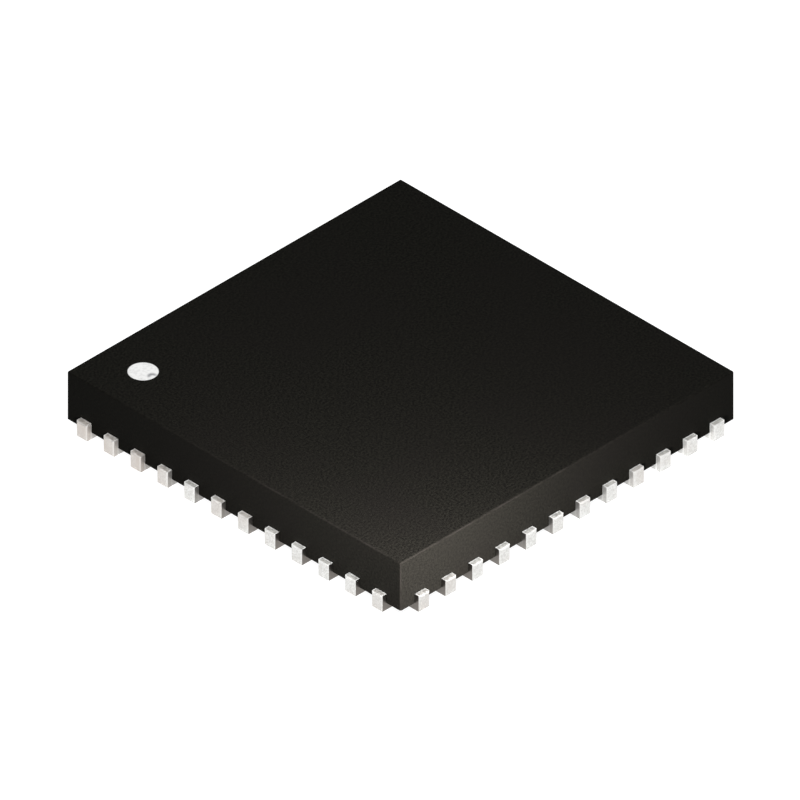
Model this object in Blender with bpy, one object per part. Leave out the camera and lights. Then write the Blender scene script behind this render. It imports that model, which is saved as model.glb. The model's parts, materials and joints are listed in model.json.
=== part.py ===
# A quad flat no-lead chip package: 48 terminals round a 7 mm square moulding, in metres with +Z up.
# The origin is on the seating plane, under the middle of the package.
# Terminal 1 is at the -X +Y corner, and the others count on from it anticlockwise seen from above:
# along the -X side, then -Y, then +X, then +Y.

import math

import bmesh
import bpy
from mathutils import Matrix, Vector

# Moulding
BODY_SIDE = 7.00e-3
BODY_THICKNESS = 0.86e-3
STANDOFF = 0.12e-3  # the underside of the moulding, above the seating plane
BODY_EDGE = 0.030e-3  # the radius round the top and down the corners

# Lead frame, etched from one sheet
FRAME_THICKNESS = 0.285e-3
LOCK_COVER = 0.045e-3  # moulding that grips under the half-etched edges

# Terminals
TERMINALS_PER_SIDE = 12
CORNER_TO_TERMINAL = 0.405e-3  # a side of the moulding to the middle of the nearest terminal
TERMINAL_WIDTH = 0.22e-3
TERMINAL_REACH = 0.105e-3  # how far it stands out of the moulding
LAND_LENGTH = 0.40e-3  # full thickness, inwards from the side of the moulding
TONGUE_LENGTH = 0.18e-3  # half etched, on inwards from the land
TONGUE_LEDGE = 0.04e-3  # half etched, beside the land
TONGUE_SETBACK = 0.12e-3  # the side of the moulding to the start of the ledges
TERMINAL_EDGE = 0.022e-3  # the bevel that etching and plating leave round a terminal's outer end
CORNER_GAP = 0.16e-3  # between the tongues of two terminals that meet at a corner

# Die pad
PAD_GAP = 0.25e-3  # the pad's rim to the tongues
PAD_RIM = 0.12e-3  # half etched, round the exposed face
PAD_CORNER_RADIUS = 0.10e-3
PAD_KEY = 0.35e-3  # the cut corner that points to terminal 1

# Die and the glue under it
ATTACH_THICKNESS = 0.025e-3
ATTACH_FOOT = 0.09e-3  # the glue's foot, out past the die
ATTACH_SHOULDER = 0.03e-3  # the glue's upper edge, out past the die
DIE_SIDE = 3.60e-3
DIE_THICKNESS = 0.20e-3
BOND_PAD_INSET = 0.10e-3  # the die's edge to the row of bond pads
BOND_ROW_INSET = 0.22e-3  # the die's corner to the first bond pad of a row

# Bond wires
WIRE_RADIUS = 0.0125e-3
BALL_RADIUS = 0.030e-3
BALL_HEIGHT = 0.016e-3
LOOP_HEIGHT = 0.15e-3  # the top of the loop, above the die
STITCH_INSET = 0.09e-3  # the tongue's tip to where the wire lands

# Mark for terminal 1
MARK_DIAMETER = 0.475e-3
MARK_INSET = 0.80e-3  # both sides of the moulding to the mark's middle
MARK_RECESS = 0.025e-3
MARK_INK = 0.015e-3

FIT = 0.003e-3  # what the moulding and its neighbours keep between their faces
OVERCUT = 0.10e-3  # how far a cutter runs on past an open face
BODY_EDGE_STEPS = 3
LAND_ARC_STEPS = 5
TONGUE_ARC_STEPS = 3
PAD_ARC_STEPS = 3
MARK_STEPS = 36
WIRE_ROUNDNESS = 1  # bevel steps that give a wire six sides
TUNNEL_ROUNDNESS = 0  # bevel steps that give its tunnel four
TUNNEL_WIDENING = 1 / math.cos(math.pi / 4)  # a square's corner against its side
WELD = 1e-8

# What follows from those sizes
half_body = BODY_SIDE / 2
body_top = STANDOFF + BODY_THICKNESS
etched_base = STANDOFF + LOCK_COVER
pitch = (BODY_SIDE - 2 * CORNER_TO_TERMINAL) / (TERMINALS_PER_SIDE - 1)
half_terminal = TERMINAL_WIDTH / 2
half_tongue = half_terminal + TONGUE_LEDGE
tongue_tip = LAND_LENGTH + TONGUE_LENGTH
half_rim = half_body - tongue_tip - PAD_GAP
half_pad = half_rim - PAD_RIM
attach_base = FRAME_THICKNESS + FIT
die_base = attach_base + ATTACH_THICKNESS + FIT
die_top = die_base + DIE_THICKNESS
half_die = DIE_SIDE / 2
bond_pitch = (DIE_SIDE - 2 * BOND_ROW_INSET) / (TERMINALS_PER_SIDE - 1)


def clear_scene():
    for obj in list(bpy.data.objects):
        bpy.data.objects.remove(obj)


def new_collection(name):
    collection = bpy.data.collections.new(name)
    bpy.context.scene.collection.children.link(collection)
    return collection


def new_material(name, colour, roughness, metallic=0.0):
    material = bpy.data.materials.new(name)
    material.use_nodes = True
    shader = material.node_tree.nodes["Principled BSDF"]
    shader.inputs["Base Color"].default_value = (*colour, 1.0)
    shader.inputs["Roughness"].default_value = roughness
    shader.inputs["Metallic"].default_value = metallic
    return material


def add_part(name, mesh, material):
    part = bpy.data.objects.new(name, mesh)
    parts.objects.link(part)
    mesh.materials.clear()
    mesh.materials.append(material)
    return part


def add_cutter(name, mesh):
    cutter = bpy.data.objects.new(name, mesh)
    cutters.objects.link(cutter)
    cutter.hide_render = True
    cutter.display_type = "WIRE"
    return cutter


def add_boolean(target, operation, tool):
    modifier = target.modifiers.new(tool.name, "BOOLEAN")
    modifier.operation = operation
    modifier.solver = "EXACT"
    modifier.object = tool


def to_mesh(shape, name):
    bmesh.ops.recalc_face_normals(shape, faces=shape.faces)
    mesh = bpy.data.meshes.new(name)
    shape.to_mesh(mesh)
    shape.free()
    return mesh


def block(name, half_x, half_y, bottom, top, half_top=None):
    """A box on the Z axis. half_top draws its upper face in or out."""
    shape = bmesh.new()
    bmesh.ops.create_cube(shape, size=2)
    for vert in shape.verts:
        upper = vert.co.z > 0
        wide_x, wide_y = (half_top, half_top) if upper and half_top else (half_x, half_y)
        vert.co = Vector((vert.co.x * wide_x, vert.co.y * wide_y, top if upper else bottom))
    return to_mesh(shape, name)


def prism(name, outline, bottom, top):
    """A flat outline raised from bottom to top."""
    shape = bmesh.new()
    base = shape.faces.new([shape.verts.new((x, y, bottom)) for x, y in outline])
    raised = bmesh.ops.extrude_face_region(shape, geom=[base], use_keep_orig=True)
    moved = [item for item in raised["geom"] if isinstance(item, bmesh.types.BMVert)]
    bmesh.ops.translate(shape, vec=(0, 0, top - bottom), verts=moved)
    return to_mesh(shape, name)


def disc(name, radius, bottom, top):
    shape = bmesh.new()
    bmesh.ops.create_cone(
        shape, cap_ends=True, segments=MARK_STEPS, radius1=radius, radius2=radius, depth=top - bottom
    )
    bmesh.ops.translate(shape, vec=(0, 0, (top + bottom) / 2), verts=shape.verts)
    return to_mesh(shape, name)


def joined(name, first, second):
    """The union of two meshes, as a new mesh."""
    whole = add_cutter(name, first)
    other = add_cutter(name + "_other", second)
    add_boolean(whole, "UNION", other)
    graph = bpy.context.evaluated_depsgraph_get()
    mesh = bpy.data.meshes.new_from_object(whole.evaluated_get(graph))
    mesh.name = name
    bpy.data.objects.remove(whole)
    bpy.data.objects.remove(other)
    return mesh


def gathered(name, meshes_and_places):
    """Copies of meshes at their places, as one mesh of separate shells."""
    shape = bmesh.new()
    for mesh, place in meshes_and_places:
        before = len(shape.verts)
        shape.from_mesh(mesh)
        shape.verts.ensure_lookup_table()
        bmesh.ops.transform(shape, matrix=place, verts=shape.verts[before:])
    mesh = bpy.data.meshes.new(name)
    shape.to_mesh(mesh)
    shape.free()
    return mesh


def tube(name, route, radius, roundness):
    """A wire along a route of (place, thickness factor) pairs, as a closed mesh."""
    curve = bpy.data.curves.new(name, "CURVE")
    curve.dimensions = "3D"
    curve.bevel_depth = radius
    curve.bevel_resolution = roundness
    curve.use_fill_caps = True
    spline = curve.splines.new("POLY")
    spline.points.add(len(route) - 1)
    for point, (place, factor) in zip(spline.points, route):
        point.co = (*place, 1)
        point.radius = factor
    holder = bpy.data.objects.new(name, curve)
    cutters.objects.link(holder)
    graph = bpy.context.evaluated_depsgraph_get()
    mesh = bpy.data.meshes.new_from_object(holder.evaluated_get(graph))
    bpy.data.objects.remove(holder)
    shape = bmesh.new()
    shape.from_mesh(mesh)
    bmesh.ops.remove_doubles(shape, verts=shape.verts, dist=WELD)
    bpy.data.meshes.remove(mesh)
    return to_mesh(shape, name)


def broken(mesh, chosen, width, steps):
    """The mesh with its chosen edges bevelled, in that many steps."""
    shape = bmesh.new()
    shape.from_mesh(mesh)
    edges = [edge for edge in shape.edges if chosen(edge)]
    round_profile = 0.5
    bmesh.ops.bevel(
        shape, geom=edges, offset=width, segments=steps, affect="EDGES", profile=round_profile
    )
    name = mesh.name
    bpy.data.meshes.remove(mesh)
    return to_mesh(shape, name)


def terminal_outline(inner, outer, half_width, corner_limit, end, arc_steps):
    """Seen from above, with X outwards from the side of the moulding and Y along it.

    The inner end is round. end is +1 or -1 on the last or first terminal of a side, whose inner end
    is cut along the package's diagonal instead, to keep clear of its neighbour round the corner.
    """
    points = [(outer, -half_width), (outer, half_width)]
    for step in range(arc_steps + 1):
        angle = math.pi / 2 + math.pi * step / arc_steps
        points.append(
            (-inner + half_width + half_width * math.cos(angle), half_width * math.sin(angle))
        )
    if not end:
        return points
    return [(max(x, end * y - CORNER_TO_TERMINAL + math.sqrt(2) * corner_limit), y) for x, y in points]


def terminal_mesh(name, end, clearance=0.0, overcut=0.0):
    """One terminal with its half-etched tongue and ledges, or the pocket that it leaves."""
    land = terminal_outline(
        LAND_LENGTH + clearance,
        TERMINAL_REACH + overcut,
        half_terminal + clearance,
        CORNER_GAP / 2 + TONGUE_LEDGE - clearance,
        end,
        LAND_ARC_STEPS,
    )
    tongue = terminal_outline(
        tongue_tip + clearance,
        clearance - TONGUE_SETBACK,
        half_tongue + clearance,
        CORNER_GAP / 2 - clearance,
        end,
        TONGUE_ARC_STEPS,
    )
    ceiling = FRAME_THICKNESS + clearance
    land_mesh = prism(name + "_land", land, -overcut, ceiling)
    if not overcut:
        land_mesh = broken(land_mesh, at_outer_end, TERMINAL_EDGE, 1)
    return joined(name, land_mesh, prism(name + "_tongue", tongue, etched_base - clearance, ceiling))


def at_outer_end(edge):
    return min(vert.co.x for vert in edge.verts) > TERMINAL_REACH - WELD


def terminal_places():
    """(number, end, place, offset along its side) of each terminal, in order from terminal 1."""
    for side in range(4):
        turn = Matrix.Rotation(math.pi + side * math.pi / 2, 4, "Z")
        for step in range(TERMINALS_PER_SIDE):
            end = -1 if step == 0 else (1 if step == TERMINALS_PER_SIDE - 1 else 0)
            along = (step - (TERMINALS_PER_SIDE - 1) / 2) * pitch
            place = turn @ Matrix.Translation((half_body, along, 0))
            yield side * TERMINALS_PER_SIDE + step + 1, end, place, along, step


def wire_route(along, step, end, start_height):
    """The bond wire of a terminal, in the terminal's own frame: ball, neck, loop and stitch."""
    bond_along = (step - (TERMINALS_PER_SIDE - 1) / 2) * bond_pitch
    ball = Vector((half_die - BOND_PAD_INSET - half_body, bond_along - along, 0))
    landing_y = -end * half_terminal / 2
    tip = -tongue_tip
    if end:
        tip = end * landing_y - CORNER_TO_TERMINAL + math.sqrt(2) * CORNER_GAP / 2
    landing = Vector((tip + STITCH_INSET, landing_y, 0))
    swell = BALL_RADIUS / WIRE_RADIUS
    ball_top = die_top + FIT + BALL_HEIGHT
    route = [
        (ball + Vector((0, 0, start_height)), swell),
        (ball + Vector((0, 0, ball_top)), swell),
        (ball + Vector((0, 0, ball_top + WIRE_RADIUS)), 1),
    ]
    # neck, top and shoulder: a share of the way from ball to stitch, and of the loop's height
    loop_bends = ((0.02, 0.75), (0.10, 1.00), (0.35, 0.80))
    for share, height in loop_bends:
        route.append((ball.lerp(landing, share) + Vector((0, 0, die_top + height * LOOP_HEIGHT)), 1))
    # heel and toe: a share of the way, and wire radii above the tongue, into which the toe runs on
    stitch_bends = ((0.93, 2.5), (1.03, -1.5))
    for share, radii in stitch_bends:
        route.append((ball.lerp(landing, share) + Vector((0, 0, FRAME_THICKNESS + radii * WIRE_RADIUS)), 1))
    return route


def pad_outline(half, key):
    """The die pad from above: rounded corners, and one cut corner towards terminal 1."""
    points = [(-half, half - key), (-half + key, half)]
    inset = half - PAD_CORNER_RADIUS
    for turn, (x, y) in ((1, (inset, inset)), (0, (inset, -inset)), (-1, (-inset, -inset))):
        for step in range(PAD_ARC_STEPS + 1):
            angle = (turn - step / PAD_ARC_STEPS) * math.pi / 2
            points.append(
                (x + PAD_CORNER_RADIUS * math.cos(angle), y + PAD_CORNER_RADIUS * math.sin(angle))
            )
    return points


def pad_mesh(name, clearance=0.0, overcut=0.0):
    """The die pad: the face that is soldered down, and the half-etched rim that locks it in."""
    slant = 2 - math.sqrt(2)
    exposed = pad_outline(half_pad + clearance, PAD_KEY + slant * clearance)
    rim = pad_outline(half_rim + clearance, PAD_KEY + slant * (PAD_RIM + clearance))
    ceiling = FRAME_THICKNESS + clearance
    return joined(
        name,
        prism(name + "_exposed", exposed, -overcut, ceiling),
        prism(name + "_rim", rim, etched_base - clearance, ceiling),
    )


def attach_mesh(name, bottom, clearance=0.0):
    """The glue under the die, with sloping edges."""
    foot = half_die + ATTACH_FOOT + clearance
    shoulder = half_die + ATTACH_SHOULDER + clearance
    top = attach_base + ATTACH_THICKNESS + clearance
    return block(name, foot, foot, bottom, top, half_top=shoulder)


def moulding_block(name):
    """The plain moulding, rounded round its top and down its corners."""
    middle = (STANDOFF + body_top) / 2
    return broken(
        block(name, half_body, half_body, STANDOFF, body_top),
        lambda edge: max(vert.co.z for vert in edge.verts) > middle,
        BODY_EDGE,
        BODY_EDGE_STEPS,
    )


def build_terminals(finish):
    """The 48 terminals, each with the bond wire that is welded to it."""
    shapes = {end: terminal_mesh(f"terminal_shape_{end}", end) for end in (-1, 0, 1)}
    for number, end, place, along, step in terminal_places():
        terminal = add_part(f"terminal_{number:02d}", shapes[end].copy(), finish)
        terminal.matrix_world = place
        route = wire_route(along, step, end, die_top + FIT)
        wire = add_cutter(f"wire_{number:02d}", tube("wire", route, WIRE_RADIUS, WIRE_ROUNDNESS))
        wire.matrix_world = place
        add_boolean(terminal, "UNION", wire)


def build_mould(finish):
    """The moulding, with a pocket for each piece that it holds."""
    mould = add_part("mould_body", moulding_block("mould_body"), finish)
    add_boolean(mould, "DIFFERENCE", add_cutter("pad_pocket", pad_mesh("pad_pocket", FIT, OVERCUT)))
    add_boolean(
        mould, "DIFFERENCE", add_cutter("attach_pocket", attach_mesh("attach_pocket", FRAME_THICKNESS, FIT))
    )
    die_room = half_die + FIT
    die_pocket = block("die_pocket", die_room, die_room, attach_base, die_top + FIT)
    add_boolean(mould, "DIFFERENCE", add_cutter("die_pocket", die_pocket))
    pockets = {end: terminal_mesh(f"pocket_{end}", end, FIT, OVERCUT) for end in (-1, 0, 1)}
    places = list(terminal_places())
    terminal_pockets = gathered(
        "terminal_pockets", [(pockets[end], place) for _, end, place, _, _ in places]
    )
    add_boolean(mould, "DIFFERENCE", add_cutter("terminal_pockets", terminal_pockets))
    tunnels = []
    for number, end, place, along, step in places:
        route = wire_route(along, step, end, die_top - FIT)
        radius = (WIRE_RADIUS + FIT) * TUNNEL_WIDENING
        tunnels.append((tube(f"tunnel_{number:02d}", route, radius, TUNNEL_ROUNDNESS), place))
    add_boolean(mould, "DIFFERENCE", add_cutter("wire_tunnels", gathered("wire_tunnels", tunnels)))
    dimple_base = body_top - MARK_RECESS
    dimple_mesh = disc("mark_dimple", MARK_DIAMETER / 2 + FIT, dimple_base, body_top + OVERCUT)
    dimple = add_cutter("mark_dimple", dimple_mesh)
    dimple.location = mark_place
    add_boolean(mould, "DIFFERENCE", dimple)


def build_mark(finish):
    """The ink in the dimple beside terminal 1."""
    base = body_top - MARK_RECESS + FIT
    mark = add_part("pin1_mark", disc("pin1_mark", MARK_DIAMETER / 2, base, base + MARK_INK), finish)
    mark.location = mark_place


clear_scene()
parts = new_collection("qfn_chip")
cutters = new_collection("cutters")
mark_place = (MARK_INSET - half_body, half_body - MARK_INSET, 0)

moulding_compound = new_material("moulding_compound", (0.012, 0.012, 0.010), 0.55)
tin_plate = new_material("tin_plate", (0.80, 0.80, 0.77), 0.30, metallic=1.0)
pad_plate = new_material("pad_plate", (0.78, 0.78, 0.75), 0.35, metallic=1.0)
silver_glue = new_material("silver_glue", (0.55, 0.54, 0.52), 0.60)
silicon = new_material("silicon", (0.10, 0.11, 0.13), 0.15, metallic=0.6)
white_ink = new_material("white_ink", (0.85, 0.85, 0.83), 0.50)

build_terminals(tin_plate)
add_part("die_pad", pad_mesh("die_pad"), pad_plate)
add_part("die_attach", attach_mesh("die_attach", attach_base), silver_glue)
add_part("silicon_die", block("silicon_die", half_die, half_die, die_base, die_top), silicon)
build_mark(white_ink)
build_mould(moulding_compound)
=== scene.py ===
import json
import math

import bpy
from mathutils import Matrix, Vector


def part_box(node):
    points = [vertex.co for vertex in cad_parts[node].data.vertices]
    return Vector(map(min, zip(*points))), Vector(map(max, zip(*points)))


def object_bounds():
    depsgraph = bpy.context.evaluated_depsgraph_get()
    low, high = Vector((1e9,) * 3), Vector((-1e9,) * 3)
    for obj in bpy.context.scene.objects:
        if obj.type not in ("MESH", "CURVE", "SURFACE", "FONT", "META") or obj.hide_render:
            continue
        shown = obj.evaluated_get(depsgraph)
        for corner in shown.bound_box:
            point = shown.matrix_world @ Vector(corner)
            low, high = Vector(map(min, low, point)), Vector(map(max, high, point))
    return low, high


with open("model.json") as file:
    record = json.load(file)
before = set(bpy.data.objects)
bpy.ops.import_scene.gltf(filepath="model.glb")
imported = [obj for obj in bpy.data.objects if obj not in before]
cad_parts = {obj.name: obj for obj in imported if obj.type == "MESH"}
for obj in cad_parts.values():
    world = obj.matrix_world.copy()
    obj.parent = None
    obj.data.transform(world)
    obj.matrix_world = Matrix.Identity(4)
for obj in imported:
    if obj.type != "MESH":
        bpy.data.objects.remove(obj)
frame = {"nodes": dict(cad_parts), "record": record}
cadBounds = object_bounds()
mm = 0.001
print("frame loaded:", len(frame["nodes"]), "pieces")

# What the patterns are placed by, in metres, from the solids themselves.
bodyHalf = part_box("mould_body")[1].x
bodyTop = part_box("mould_body")[1].z
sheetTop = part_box("die_pad")[1].z  # the terminals and the pad are etched from one sheet
outerEnd = cadBounds[1].x  # the terminals' end faces
frontCorner = (-bodyHalf, -bodyHalf, 0)
firstCorner = (-bodyHalf, bodyHalf, 0)  # the one by terminal 1


# Where a terminal of the -X side begins and ends along Y, outside the moulding.
def alongRow(node):
    places = [vertex.co.y for vertex in frame["nodes"][node].data.vertices if vertex.co.x < -bodyHalf]
    return min(places), max(places)


firstFrom, firstTo = alongRow("terminal_01")
terminalWidth = firstTo - firstFrom
pitch = firstFrom - alongRow("terminal_02")[0]


# An sRGB hex colour as linear light, which is what a shader wants, by the standard's own curve.
def linear(hexColour):
    colour = []
    for place in (1, 3, 5):
        channel = int(hexColour[place:place + 2], 16) / 255
        colour.append(channel / 12.92 if channel <= 0.04045 else ((channel + 0.055) / 1.055) ** 2.4)
    return (*colour, 1.0)


# The Scale of a noise whose lumps are so many millimetres across.
def lumps(size):
    return 1 / (size * mm)


# Adds a node and gives its outputs. A setting is an input, by its name or number, or else a property
# of the node, and one that is another node's output is linked. A Mix of numbers takes its factor as 0
# and the numbers as 2 and 3, and gives 0. A Mix of colours takes 0, 6 and 7, and gives 2.
def addNode(tree, kind, settings=None):
    node = tree.nodes.new("ShaderNode" + kind)
    for key, value in (settings or {}).items():
        if isinstance(value, bpy.types.NodeSocket):
            tree.links.new(value, node.inputs[key])
        elif isinstance(key, str) and key not in node.inputs:
            setattr(node, key, value)
        else:
            node.inputs[key].default_value = value
    return node.outputs


# An empty material, its tree, the place on the object in metres and the way the surface faces.
def startMaterial(name):
    material = bpy.data.materials.new(name)
    material.use_nodes = True
    tree = material.node_tree
    tree.nodes.clear()
    where = addNode(tree, "TexCoord")
    return material, tree, where["Object"], where["Normal"]


def finishMaterial(tree, settings):
    shader = addNode(tree, "BsdfPrincipled", settings)
    addNode(tree, "OutputMaterial", {"Surface": shader["BSDF"]})


# 1 where a measure comes to an edge, fading to 0 a width before it, or after it with a negative width.
def nearEdge(tree, measure, edge, width):
    full = width / 4  # this close to the edge it is at 1 throughout
    return addNode(
        tree,
        "MapRange",
        {
            "interpolation_type": "SMOOTHSTEP",
            "Value": measure,
            "From Min": edge - width,
            "From Max": edge - full,
        },
    )["Result"]


# Each face of a block has one of these at 1, so where the sum comes to 2 there is an edge.
def alongEdges(tree, *nearEdges):
    total = nearEdges[0]
    for more in nearEdges[1:]:
        total = addNode(tree, "Math", {"operation": "ADD", 0: total, 1: more})["Value"]
    return addNode(tree, "MapRange", {"Value": total, "From Min": 1.0, "From Max": 2.0})["Result"]


# Moulded epoxy, black with carbon and full of fine silica: deep matt black with an even fine grain
# and next to no shine, because the textured mould breaks the gloss up. The walls are painted darker
# than the top, a painted shade, and their grain is finer. The edges carry a painted highlight.
mouldFinish = {
    "deep": "#0A0A09",
    "high": "#171714",
    "grain": 0.035,  # the mould's spark-eroded texture; a little coarse, so that it shows
    "grainSpread": (0.35, 0.65),
    "grainHeight": 0.006,
    "flow": "#121110",  # the warm cast where the compound flowed slower
    "flowSize": 1.6,
    "flowSpread": (0.45, 0.75),
    "flowShare": 0.5,
    "roughness": (0.55, 0.75),
    "roughnessSpread": (0.3, 0.7),
    "ior": 1.5,
    "specular": 0.009,
    "levelFrom": 0.8,  # a face that points up less than this is a wall
    "wallShade": 0.665,  # the walls' painted shade and grain, as shares of the top's tone and grain
    "wallGrain": 0.6,
    "edgeHighlight": "#1D1C1A",  # the painted highlight along the edges
    "highlightWidth": 0.025,
    "highlightBreak": 0.5,  # how long the stretches of painted highlight are
    "highlightSpread": (0.35, 0.6),
    "highlightFrom": 3.0,  # the painted highlight is even to here from the front corner,
    "highlightTo": 6.5,  # and gone here
}


# 1 on the stretches of the moulding's edges that carry the painted highlight.
def paintedEdgeHighlight(tree, place):
    look = mouldFinish
    spot = addNode(tree, "SeparateXYZ", {"Vector": place})
    absX = addNode(tree, "Math", {"operation": "ABSOLUTE", 0: spot["X"]})["Value"]
    absY = addNode(tree, "Math", {"operation": "ABSOLUTE", 0: spot["Y"]})["Value"]
    width = look["highlightWidth"] * mm
    edge = alongEdges(
        tree,
        nearEdge(tree, absX, bodyHalf, width),
        nearEdge(tree, absY, bodyHalf, width),
        nearEdge(tree, spot["Z"], bodyTop, width),
    )
    breaks = addNode(
        tree, "TexNoise", {"Vector": place, "Scale": lumps(look["highlightBreak"]), "Detail": 3.0}
    )["Fac"]
    low, high = look["highlightSpread"]
    broken = addNode(tree, "MapRange", {"Value": breaks, "From Min": low, "From Max": high})["Result"]
    away = addNode(tree, "VectorMath", {"operation": "DISTANCE", 0: place, 1: frontCorner})["Value"]
    towardsFrontCorner = addNode(
        tree,
        "MapRange",
        {
            "Value": away,
            "From Min": look["highlightFrom"] * mm,
            "From Max": look["highlightTo"] * mm,
            "To Min": 1.0,
            "To Max": 0.0,
        },
    )["Result"]
    brokenEdge = addNode(tree, "Math", {"operation": "MULTIPLY", 0: edge, 1: broken})["Value"]
    return addNode(tree, "Math", {"operation": "MULTIPLY", 0: brokenEdge, 1: towardsFrontCorner})["Value"]


def mouldingCompound():
    material, tree, place, facing = startMaterial("mouldedBlackEpoxy")
    look = mouldFinish
    grain = addNode(
        tree,
        "TexNoise",
        {"Vector": place, "Scale": lumps(look["grain"]), "Detail": 2.0, "Roughness": 0.6},
    )["Fac"]
    turned = addNode(tree, "SeparateXYZ", {"Vector": facing})
    upright = addNode(tree, "Math", {"operation": "ABSOLUTE", 0: turned["Z"]})["Value"]
    # 1 on the top and 0 on the walls
    level = addNode(tree, "MapRange", {"Value": upright, "From Min": look["levelFrom"]})["Result"]
    depth = addNode(
        tree,
        "Math",
        {"operation": "MULTIPLY_ADD", 0: level, 1: 1 - look["wallGrain"], 2: look["wallGrain"]},
    )["Value"]
    # dark and light specks about the middle tone, fainter on the walls
    low, high = look["grainSpread"]
    speck = addNode(
        tree,
        "MapRange",
        {"Value": grain, "From Min": low, "From Max": high, "To Min": -0.5, "To Max": 0.5},
    )["Result"]
    tone = addNode(tree, "Math", {"operation": "MULTIPLY_ADD", 0: speck, 1: depth, 2: 0.5})["Value"]
    grained = addNode(
        tree, "Mix", {"data_type": "RGBA", 0: tone, 6: linear(look["deep"]), 7: linear(look["high"])}
    )[2]
    flow = addNode(
        tree,
        "TexNoise",
        {"Vector": place, "Scale": lumps(look["flowSize"]), "Detail": 3.0, "Distortion": 0.6},
    )["Fac"]
    low, high = look["flowSpread"]
    warm = addNode(
        tree,
        "MapRange",
        {"Value": flow, "From Min": low, "From Max": high, "To Max": look["flowShare"]},
    )["Result"]
    plain = addNode(tree, "Mix", {"data_type": "RGBA", 0: warm, 6: grained, 7: linear(look["flow"])})[2]
    # painted highlight along the edges, strongest near the front corner
    edgeHighlight = paintedEdgeHighlight(tree, place)
    paintedLight = addNode(tree, "Mix", {"data_type": "RGBA", 0: edgeHighlight, 6: plain, 7: linear(look["edgeHighlight"])})[2]
    # painted shade: the walls are darkened to this share of the top's tone
    share = addNode(
        tree,
        "Math",
        {"operation": "MULTIPLY_ADD", 0: level, 1: 1 - look["wallShade"], 2: look["wallShade"]},
    )["Value"]
    colour = addNode(
        tree, "VectorMath", {"operation": "SCALE", "Vector": paintedLight, "Scale": share}
    )["Vector"]
    smooth, coarse = look["roughness"]
    low, high = look["roughnessSpread"]
    roughness = addNode(
        tree,
        "MapRange",
        {"Value": grain, "From Min": low, "From Max": high, "To Min": smooth, "To Max": coarse},
    )["Result"]
    bump = addNode(
        tree, "Bump", {"Height": grain, "Strength": depth, "Distance": look["grainHeight"] * mm}
    )["Normal"]
    finishMaterial(
        tree,
        {
            "Base Color": colour,
            "Roughness": roughness,
            "Normal": bump,
            "IOR": look["ior"],
            "Specular IOR Level": look["specular"],
        },
    )
    return material


# Matt electroplated tin on etched copper, with gold bond wires welded on: a soft white metal whose
# crystals give it a faint sparkle. Its edges carry a painted highlight, fainter on the outer rims near
# the front corner and in the rows along X, and its upper faces a painted shade. It is stained near
# terminal 1. Its flanks carry a painted shade, deepest near the front corner and reaching further along
# Y.
tinFinish = {
    "bright": "#DCDCDA",
    "dull": "#C6C5C2",
    "crystal": 0.022,  # real crystals are a few microns across; coarser here, so that they show
    "crystalHeight": 0.0011,
    "roughness": (0.36, 0.46),
    "facingSpread": (0.8, 0.95),  # how squarely an upper face points up, or a flank along its row
    "upper": "#BBBAB6",  # painted shade on the upper face between its rims
    # painted highlight along the terminals' edges
    "rim": "#ECECEA",
    "rimWidth": 0.026,
    "rimFade": 0.8,  # how much fainter the painted highlight is on the fainter rims
    "stain": "#BFB8B2",
    "stainSize": 1.2,
    "stainSpread": (0.5, 0.75),
    "stainGain": 0.22,  # added to the noise at the corner by terminal 1,
    "stainReach": 5.0,  # and gone this far away
    "stainWiped": 0.5,  # how much less of the stain the rims keep
    # painted shade on the flanks
    "flank": "#77726D",
    "flankFrom": 1.5,  # from the front corner, where the painted shade on the flanks is deepest,
    "flankTo": 6.4,  # and where they are as white as the rest
    "flankPull": 0.75,  # along Y it takes longer, by one over this
    "flankRoughness": (0.60, 0.36),  # clear of the painted shade, and where the painted shade is deepest
    "flankSmoothFrom": 0.4,  # how deep the painted shade on a flank is before it is smoother at all
    "gold": "#F3C66B",
    "wireFrom": 0.0005,  # this far above the sheet there is only wire
}


# How near a place is to the edges of its terminal's outer part, and how near to its end face, each 1 at
# its most. Far is how far out the place is, and along is how far from the middle of its side.
def terminalRims(tree, far, along, height):
    width = tinFinish["rimWidth"] * mm
    # a row has an even number of terminals, so the middle of its side is halfway between two
    inPitch = addNode(tree, "Math", {"operation": "MODULO", 0: along, 1: pitch})["Value"]
    fromMiddle = addNode(tree, "Math", {"operation": "SUBTRACT", 0: inPitch, 1: pitch / 2})["Value"]
    across = addNode(tree, "Math", {"operation": "ABSOLUTE", 0: fromMiddle})["Value"]
    endFace = nearEdge(tree, far, outerEnd, width)
    rims = alongEdges(
        tree,
        endFace,
        nearEdge(tree, far, bodyHalf, -width),
        nearEdge(tree, across, terminalWidth / 2, width),
        nearEdge(tree, height, sheetTop, width),
    )
    return rims, endFace


# 1 on the stains, which gather towards terminal 1.
def tinStains(tree, place):
    look = tinFinish
    blotches = addNode(
        tree, "TexNoise", {"Vector": place, "Scale": lumps(look["stainSize"]), "Detail": 2.0}
    )["Fac"]
    away = addNode(tree, "VectorMath", {"operation": "DISTANCE", 0: place, 1: firstCorner})["Value"]
    gain = addNode(
        tree,
        "MapRange",
        {
            "Value": away,
            "From Min": 0.0,
            "From Max": look["stainReach"] * mm,
            "To Min": look["stainGain"],
            "To Max": 0.0,
        },
    )["Result"]
    gathered = addNode(tree, "Math", {"operation": "ADD", 0: blotches, 1: gain})["Value"]
    low, high = look["stainSpread"]
    return addNode(tree, "MapRange", {"Value": gathered, "From Min": low, "From Max": high})["Result"]


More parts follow.
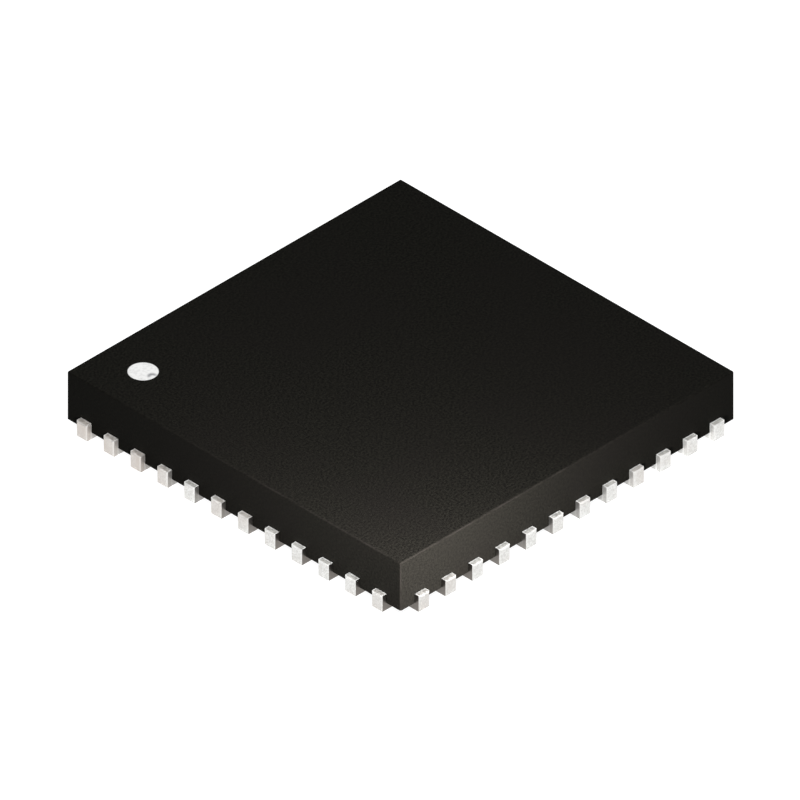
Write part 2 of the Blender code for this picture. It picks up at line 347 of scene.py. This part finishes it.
# 1 near the front corner, where the painted shade on the flanks is deepest, and 0 far from it.
def paintedFlankShade(tree, place):
    look = tinFinish
    pull = look["flankPull"]
    fromCorner = addNode(
        tree,
        "Mapping",
        {"Vector": place, "Location": (bodyHalf, bodyHalf * pull, 0), "Scale": (1, pull, 0)},
    )["Vector"]
    away = addNode(tree, "VectorMath", {"operation": "LENGTH", 0: fromCorner})["Value"]
    return addNode(
        tree,
        "MapRange",
        {
            "interpolation_type": "SMOOTHSTEP",
            "Value": away,
            "From Min": look["flankFrom"] * mm,
            "From Max": look["flankTo"] * mm,
            "To Min": 1.0,
            "To Max": 0.0,
        },
    )["Result"]


def tinPlate():
    material, tree, place, facing = startMaterial("mattTinPlate")
    look = tinFinish
    spot = addNode(tree, "SeparateXYZ", {"Vector": place})
    turned = addNode(tree, "SeparateXYZ", {"Vector": facing})
    absX = addNode(tree, "Math", {"operation": "ABSOLUTE", 0: spot["X"]})["Value"]
    absY = addNode(tree, "Math", {"operation": "ABSOLUTE", 0: spot["Y"]})["Value"]
    far = addNode(tree, "Math", {"operation": "MAXIMUM", 0: absX, 1: absY})["Value"]
    along = addNode(tree, "Math", {"operation": "MINIMUM", 0: absX, 1: absY})["Value"]
    inRowAlongX = addNode(tree, "Math", {"operation": "GREATER_THAN", 0: absY, 1: absX})["Value"]
    # a flank faces along its row
    facingX = addNode(tree, "Math", {"operation": "ABSOLUTE", 0: turned["X"]})["Value"]
    facingY = addNode(tree, "Math", {"operation": "ABSOLUTE", 0: turned["Y"]})["Value"]
    sideways = addNode(tree, "Mix", {0: inRowAlongX, 2: facingY, 3: facingX})[0]
    low, high = look["facingSpread"]
    flank = addNode(tree, "MapRange", {"Value": sideways, "From Min": low, "From Max": high})["Result"]
    up = turned["Z"]
    upward = addNode(tree, "MapRange", {"Value": up, "From Min": low, "From Max": high})["Result"]
    flankShade = paintedFlankShade(tree, place)

    crystals = addNode(tree, "TexVoronoi", {"Vector": place, "Scale": lumps(look["crystal"])})
    shade = addNode(tree, "SeparateColor", {"Color": crystals["Color"]})["Red"]
    clean = addNode(
        tree, "Mix", {"data_type": "RGBA", 0: shade, 6: linear(look["bright"]), 7: linear(look["dull"])}
    )[2]
    # painted shade on the upper faces
    faces = addNode(tree, "Mix", {"data_type": "RGBA", 0: upward, 6: clean, 7: linear(look["upper"])})[2]
    rims, endFace = terminalRims(tree, far, along, spot["Z"])
    # the painted highlight is fainter on end faces near the front corner and in the rows along X
    faint = addNode(tree, "Math", {"operation": "MAXIMUM", 0: flankShade, 1: inRowAlongX})["Value"]
    faintEnd = addNode(tree, "Math", {"operation": "MULTIPLY", 0: faint, 1: endFace})["Value"]
    share = addNode(
        tree, "Math", {"operation": "MULTIPLY_ADD", 0: faintEnd, 1: -look["rimFade"], 2: 1.0}
    )["Value"]
    rimShine = addNode(tree, "Math", {"operation": "MULTIPLY", 0: rims, 1: share})["Value"]
    # painted highlight along the edges
    rimmed = addNode(tree, "Mix", {"data_type": "RGBA", 0: rimShine, 6: faces, 7: linear(look["rim"])})[2]
    wiped = addNode(
        tree, "Math", {"operation": "MULTIPLY_ADD", 0: rims, 1: -look["stainWiped"], 2: 1.0}
    )["Value"]
    stains = tinStains(tree, place)
    stained = addNode(tree, "Math", {"operation": "MULTIPLY", 0: stains, 1: wiped})["Value"]
    aged = addNode(
        tree, "Mix", {"data_type": "RGBA", 0: stained, 6: rimmed, 7: linear(look["stain"])}
    )[2]
    # painted shade on the flanks, deepest near the front corner
    shadedFlank = addNode(tree, "Math", {"operation": "MULTIPLY", 0: flank, 1: flankShade})["Value"]
    plated = addNode(tree, "Mix", {"data_type": "RGBA", 0: shadedFlank, 6: aged, 7: linear(look["flank"])})[2]
    wireBase = sheetTop + look["wireFrom"] * mm
    wire = addNode(tree, "Math", {"operation": "GREATER_THAN", 0: spot["Z"], 1: wireBase})["Value"]
    colour = addNode(tree, "Mix", {"data_type": "RGBA", 0: wire, 6: plated, 7: linear(look["gold"])})[2]

    low, high = look["roughness"]
    faceRoughness = addNode(tree, "MapRange", {"Value": shade, "To Min": low, "To Max": high})["Result"]
    clear, mostShaded = look["flankRoughness"]
    flankRoughness = addNode(
        tree,
        "MapRange",
        {"Value": flankShade, "From Min": look["flankSmoothFrom"], "To Min": clear, "To Max": mostShaded},
    )["Result"]
    roughness = addNode(tree, "Mix", {0: flank, 2: faceRoughness, 3: flankRoughness})[0]
    bump = addNode(
        tree,
        "Bump",
        {"Height": crystals["Distance"], "Strength": 1.0, "Distance": look["crystalHeight"] * mm},
    )["Normal"]
    finishMaterial(tree, {"Base Color": colour, "Roughness": roughness, "Normal": bump, "Metallic": 1.0})
    return material


# The same tin on the wide rolled and etched pad: softer, with the sheet's rolling lines along X.
padFinish = {
    "bright": "#E6E5E1",
    "dull": "#D3D2CD",
    "etchPit": 0.05,
    "rollLine": 0.04,
    "rollLength": 1.5,
    "rollShare": 0.6,  # how much the rolling lines count beside the pits
    "toneSpread": (0.5, 1.1),
    "lineHeight": 0.002,
    "roughness": (0.4, 0.6),
}


def padPlate():
    material, tree, place, _ = startMaterial("rolledTinPlate")
    look = padFinish
    acrossLines = lumps(look["rollLine"])
    stretched = addNode(
        tree,
        "Mapping",
        {"Vector": place, "Scale": (lumps(look["rollLength"]), acrossLines, acrossLines)},
    )["Vector"]
    lines = addNode(tree, "TexNoise", {"Vector": stretched, "Scale": 1.0, "Detail": 3.0})["Fac"]
    pits = addNode(
        tree, "TexNoise", {"Vector": place, "Scale": lumps(look["etchPit"]), "Detail": 2.0}
    )["Fac"]
    both = addNode(
        tree, "Math", {"operation": "MULTIPLY_ADD", 0: lines, 1: look["rollShare"], 2: pits}
    )["Value"]
    low, high = look["toneSpread"]
    tone = addNode(tree, "MapRange", {"Value": both, "From Min": low, "From Max": high})["Result"]
    colour = addNode(
        tree, "Mix", {"data_type": "RGBA", 0: tone, 6: linear(look["bright"]), 7: linear(look["dull"])}
    )[2]
    low, high = look["roughness"]
    roughness = addNode(tree, "MapRange", {"Value": tone, "To Min": low, "To Max": high})["Result"]
    bump = addNode(
        tree, "Bump", {"Height": both, "Strength": 1.0, "Distance": look["lineHeight"] * mm}
    )["Normal"]
    finishMaterial(tree, {"Base Color": colour, "Roughness": roughness, "Normal": bump, "Metallic": 1.0})
    return material


# White pad-printed ink: chalky and slightly uneven, with one thin grey curl of painted shade, and a grey
# ring at its edge. The curl is a round place less another one, and both are placed from the middle of the
# mark.
inkFinish = {
    "white": "#F0F0EF",
    "thin": "#DADAD9",
    # painted shade in the curl
    "curlShade": "#8F8F92",
    "blot": 0.06,
    "blotSpread": (0.45, 0.7),
    "blotHeight": 0.002,
    "rim": "#6A6A6A",  # a grey ring at the mark's outer edge
    "rimWidth": 0.012,
    "curl": {"at": (0.016, -0.173), "radius": 0.067},
    "curlHole": {"at": (-0.006, -0.220), "radius": 0.058},
    "wobble": 0.05,  # how far the blots move the curl's edges
    "soft": 0.022,  # how gently the curl's edges fade
    "roughness": 0.55,
}


# 1 inside a round place on the mark, fading to 0 across its soft edge.
def roundPlace(tree, place, blots, middle, spot):
    wobble, soft = inkFinish["wobble"] * mm, inkFinish["soft"] * mm
    alongX, alongY = spot["at"]
    centre = (middle[0] + alongX * mm, middle[1] + alongY * mm, middle[2])
    away = addNode(tree, "VectorMath", {"operation": "DISTANCE", 0: place, 1: centre})["Value"]
    uneven = addNode(tree, "Math", {"operation": "MULTIPLY_ADD", 0: blots, 1: wobble, 2: away})["Value"]
    edge = spot["radius"] * mm + wobble / 2  # the blots are about a half on average
    return addNode(
        tree,
        "MapRange",
        {"Value": uneven, "From Min": edge - soft, "From Max": edge + soft, "To Min": 1.0, "To Max": 0.0},
    )["Result"]


def whiteInk():
    material, tree, place, _ = startMaterial("whitePrintedInk")
    look = inkFinish
    low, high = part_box("pin1_mark")
    middle = [(low[axis] + high[axis]) / 2 for axis in range(2)] + [high[2]]
    radius = (high[0] - low[0]) / 2
    blots = addNode(
        tree, "TexNoise", {"Vector": place, "Scale": lumps(look["blot"]), "Detail": 3.0}
    )["Fac"]
    low, high = look["blotSpread"]
    cover = addNode(tree, "MapRange", {"Value": blots, "From Min": low, "From Max": high})["Result"]
    chalk = addNode(
        tree, "Mix", {"data_type": "RGBA", 0: cover, 6: linear(look["white"]), 7: linear(look["thin"])}
    )[2]
    # the curl of painted shade
    curl = roundPlace(tree, place, blots, middle, look["curl"])
    hole = roundPlace(tree, place, blots, middle, look["curlHole"])
    paintedLight = addNode(tree, "Math", {"operation": "SUBTRACT", "use_clamp": True, 0: curl, 1: hole})["Value"]
    inked = addNode(tree, "Mix", {"data_type": "RGBA", 0: paintedLight, 6: chalk, 7: linear(look["curlShade"])})[2]
    fromMiddle = addNode(tree, "VectorMath", {"operation": "DISTANCE", 0: place, 1: middle})["Value"]
    outerRing = nearEdge(tree, fromMiddle, radius, look["rimWidth"] * mm)
    colour = addNode(tree, "Mix", {"data_type": "RGBA", 0: outerRing, 6: inked, 7: linear(look["rim"])})[2]
    bump = addNode(
        tree, "Bump", {"Height": blots, "Strength": 1.0, "Distance": look["blotHeight"] * mm}
    )["Normal"]
    finishMaterial(tree, {"Base Color": colour, "Roughness": look["roughness"], "Normal": bump})
    return material


# Silver-filled epoxy under the die: grey paste full of tiny flakes that catch the light.
glueFinish = {
    "paste": "#8F8D88",
    "flake": "#D9D7D0",
    "flakeSize": 0.02,
    "roughness": (0.7, 0.35),  # of the paste and of the flakes
    "metallic": 0.6,
}


def silverGlue():
    material, tree, place, _ = startMaterial("silverFilledEpoxy")
    look = glueFinish
    flakes = addNode(tree, "TexVoronoi", {"Vector": place, "Scale": lumps(look["flakeSize"])})
    shade = addNode(tree, "SeparateColor", {"Color": flakes["Color"]})["Green"]
    colour = addNode(
        tree, "Mix", {"data_type": "RGBA", 0: shade, 6: linear(look["paste"]), 7: linear(look["flake"])}
    )[2]
    paste, flake = look["roughness"]
    roughness = addNode(tree, "MapRange", {"Value": shade, "To Min": paste, "To Max": flake})["Result"]
    finishMaterial(tree, {"Base Color": colour, "Roughness": roughness, "Metallic": look["metallic"]})
    return material


# Polished silicon: a dark blue-grey mirror, duller on its sawn sides.
dieFinish = {
    "polished": "#5C6470",
    "sawn": "#3F434A",
    "sideSpread": (0.2, 0.8),  # how far up a face points where it is all side, and where it is all top
    "roughness": (0.08, 0.4),
    "metallic": 0.7,
}


def silicon():
    material, tree, _, facing = startMaterial("polishedSilicon")
    look = dieFinish
    upward = addNode(tree, "SeparateXYZ", {"Vector": facing})["Z"]
    low, high = look["sideSpread"]
    side = addNode(
        tree,
        "MapRange",
        {"Value": upward, "From Min": low, "From Max": high, "To Min": 1.0, "To Max": 0.0},
    )["Result"]
    colour = addNode(
        tree, "Mix", {"data_type": "RGBA", 0: side, 6: linear(look["polished"]), 7: linear(look["sawn"])}
    )[2]
    polished, sawn = look["roughness"]
    roughness = addNode(tree, "MapRange", {"Value": side, "To Min": polished, "To Max": sawn})["Result"]
    finishMaterial(tree, {"Base Color": colour, "Roughness": roughness, "Metallic": look["metallic"]})
    return material


finishes = {
    "moulding_compound": mouldingCompound(),
    "tin_plate": tinPlate(),
    "pad_plate": padPlate(),
    "white_ink": whiteInk(),
    "silver_glue": silverGlue(),
    "silicon": silicon(),
}
for row in frame["record"]["subparts"]:
    slot = frame["nodes"][row["node"]].material_slots[0]
    slot.link = "OBJECT"
    slot.material = finishes[row["material_slot"]]
print("finishes on:", len(finishes))


# A plain white glowing table, whose own light thins the shadow away. It is a hair below the part, so
# that their faces don't fall together, and clear from below, so that the underside can be looked at.
floorLook = {"size": 600, "drop": 0.002, "white": "#8A8A8A", "roughness": 0.9, "glow": 0.97}


def makeFloor():
    material, tree, _, _ = startMaterial("whiteLightTable")
    table = addNode(
        tree,
        "BsdfPrincipled",
        {
            "Base Color": linear(floorLook["white"]),
            "Roughness": floorLook["roughness"],
            "Specular IOR Level": 0.0,
            "Emission Color": linear("#FFFFFF"),
            "Emission Strength": floorLook["glow"],
        },
    )["BSDF"]
    clear = addNode(tree, "BsdfTransparent")["BSDF"]
    below = addNode(tree, "NewGeometry")["Backfacing"]
    surface = addNode(tree, "MixShader", {0: below, 1: table, 2: clear})["Shader"]
    addNode(tree, "OutputMaterial", {"Surface": surface})
    material.cycles.emission_sampling = "NONE"  # it is met by chance often enough, and this is smoother
    half = floorLook["size"] * mm / 2
    level = -floorLook["drop"] * mm
    corners = [(x * half, y * half, level) for x, y in ((-1, -1), (1, -1), (1, 1), (-1, 1))]
    mesh = bpy.data.meshes.new("floor")
    mesh.from_pydata(corners, [], [(0, 1, 2, 3)])
    mesh.materials.append(material)
    floor = bpy.data.objects.new("floor", mesh)
    bpy.context.scene.collection.objects.link(floor)


# The room: white to the height of the horizon, and dimmer above, which keeps the black moulding black.
# From and to are how steeply up one looks, from 0 for level to 1 for straight up.
roomLook = {"low": 1.0, "high": 0.30, "from": 0.05, "to": 0.25}


def makeRoom():
    world = bpy.data.worlds.new("room")
    bpy.context.scene.world = world
    world.use_nodes = True
    tree = world.node_tree
    tree.nodes.clear()
    direction = addNode(tree, "TexCoord")["Generated"]
    steepness = addNode(tree, "SeparateXYZ", {"Vector": direction})["Z"]
    strength = addNode(
        tree,
        "MapRange",
        {
            "Value": steepness,
            "From Min": roomLook["from"],
            "From Max": roomLook["to"],
            "To Min": roomLook["low"],
            "To Max": roomLook["high"],
        },
    )["Result"]
    background = addNode(tree, "Background", {"Color": linear("#FFFFFF"), "Strength": strength})
    addNode(tree, "OutputWorld", {"Surface": background["Background"]})


# Soft lamps, each a lit square. Places and aims are in mm, and glow is how bright the square looks. One
# that has a "for" lights only the pieces whose names start with it.
lamps = {
    "overhead": {"at": (-8, -12, 90), "aim": (0, 0, 0), "size": 80, "glow": 3.8},
    # these two make the moulding lighter towards the front corner
    "frontCorner": {
        "at": (-7.5, -3.8, 3.4), "aim": (-3.5, -3.5, 0.9), "size": 1.2, "glow": 318, "for": "mould"
    },
    "rightSide": {
        "at": (-3.2, -7.2, 1.7), "aim": (-3.2, -3.5, 1.7), "size": 0.9, "glow": 1130, "for": "mould"
    },
    # these two keep the back walls from being flat black, and are too low to light the top
    "backSide": {"at": (1.5, 7.5, 0.4), "aim": (1.5, 3.5, 0.4), "size": 0.8, "glow": 285, "for": "mould"},
    "farSide": {"at": (7.5, -1, 0.4), "aim": (3.5, -1, 0.4), "size": 0.8, "glow": 480, "for": "mould"},
    # this one brightens the terminals' upper faces
    "terminalTops": {
        "at": (-4.6, -6, 22), "aim": (-1, -1, 0), "size": 14, "glow": 74, "for": "terminal"
    },
}
lampWarmth = {"mould": (1.0, 0.915, 0.92), "terminal": (1.0, 1.0, 1.0)}  # as linear light


def makeLamp(name, look):
    light = bpy.data.lights.new(name, "AREA")
    light.shape = "SQUARE"
    light.size = look["size"] * mm
    light.energy = look["glow"] * math.pi * light.size ** 2  # all that such a square sends out
    lamp = bpy.data.objects.new(name, light)
    bpy.context.scene.collection.objects.link(lamp)
    lamp.location = Vector(look["at"]) * mm
    lamp.rotation_euler = (Vector(look["aim"]) - Vector(look["at"])).to_track_quat("-Z", "Y").to_euler()
    lamp.visible_camera = False
    # the near lamps would flare on the top, seen from behind
    lamp.visible_glossy = look.get("for") != "mould"
    if "for" in look:
        light.color = lampWarmth[look["for"]]
        lit = bpy.data.collections.new(name + "Lit")
        for nodeName, node in frame["nodes"].items():
            if nodeName.startswith(look["for"]):
                lit.objects.link(node)
        lamp.light_linking.receiver_collection = lit


# The photograph is an even isometric view, with no perspective.
cameraLook = {
    "azimuth": -45,
    "elevation": 35.264,
    "width": 11.863,  # what the picture spans
    "aim": (-0.0063, 0.0063, 0.455),  # what is in the middle of it
    "away": 80,
    "sees": (1, 1000),  # the nearest and the farthest that it shows
}


def makeCamera():
    look = cameraLook
    data = bpy.data.cameras.new("camera")
    data.type = "ORTHO"
    data.ortho_scale = look["width"] * mm
    nearest, farthest = look["sees"]
    data.clip_start = nearest * mm
    data.clip_end = farthest * mm
    azimuth, elevation = math.radians(look["azimuth"]), math.radians(look["elevation"])
    level = math.cos(elevation)
    back = Vector((math.sin(azimuth) * level, -math.cos(azimuth) * level, math.sin(elevation)))
    camera = bpy.data.objects.new("camera", data)
    bpy.context.scene.collection.objects.link(camera)
    camera.location = (Vector(look["aim"]) + back * look["away"]) * mm
    camera.rotation_euler = (-back).to_track_quat("-Z", "Y").to_euler()
    bpy.context.scene.camera = camera


makeFloor()
makeRoom()
for lampName, lampLook in lamps.items():
    makeLamp(lampName, lampLook)
makeCamera()
bpy.context.scene.view_settings.view_transform = "Standard"
print("stage, lamps and camera set")

bpy.context.view_layer.update()
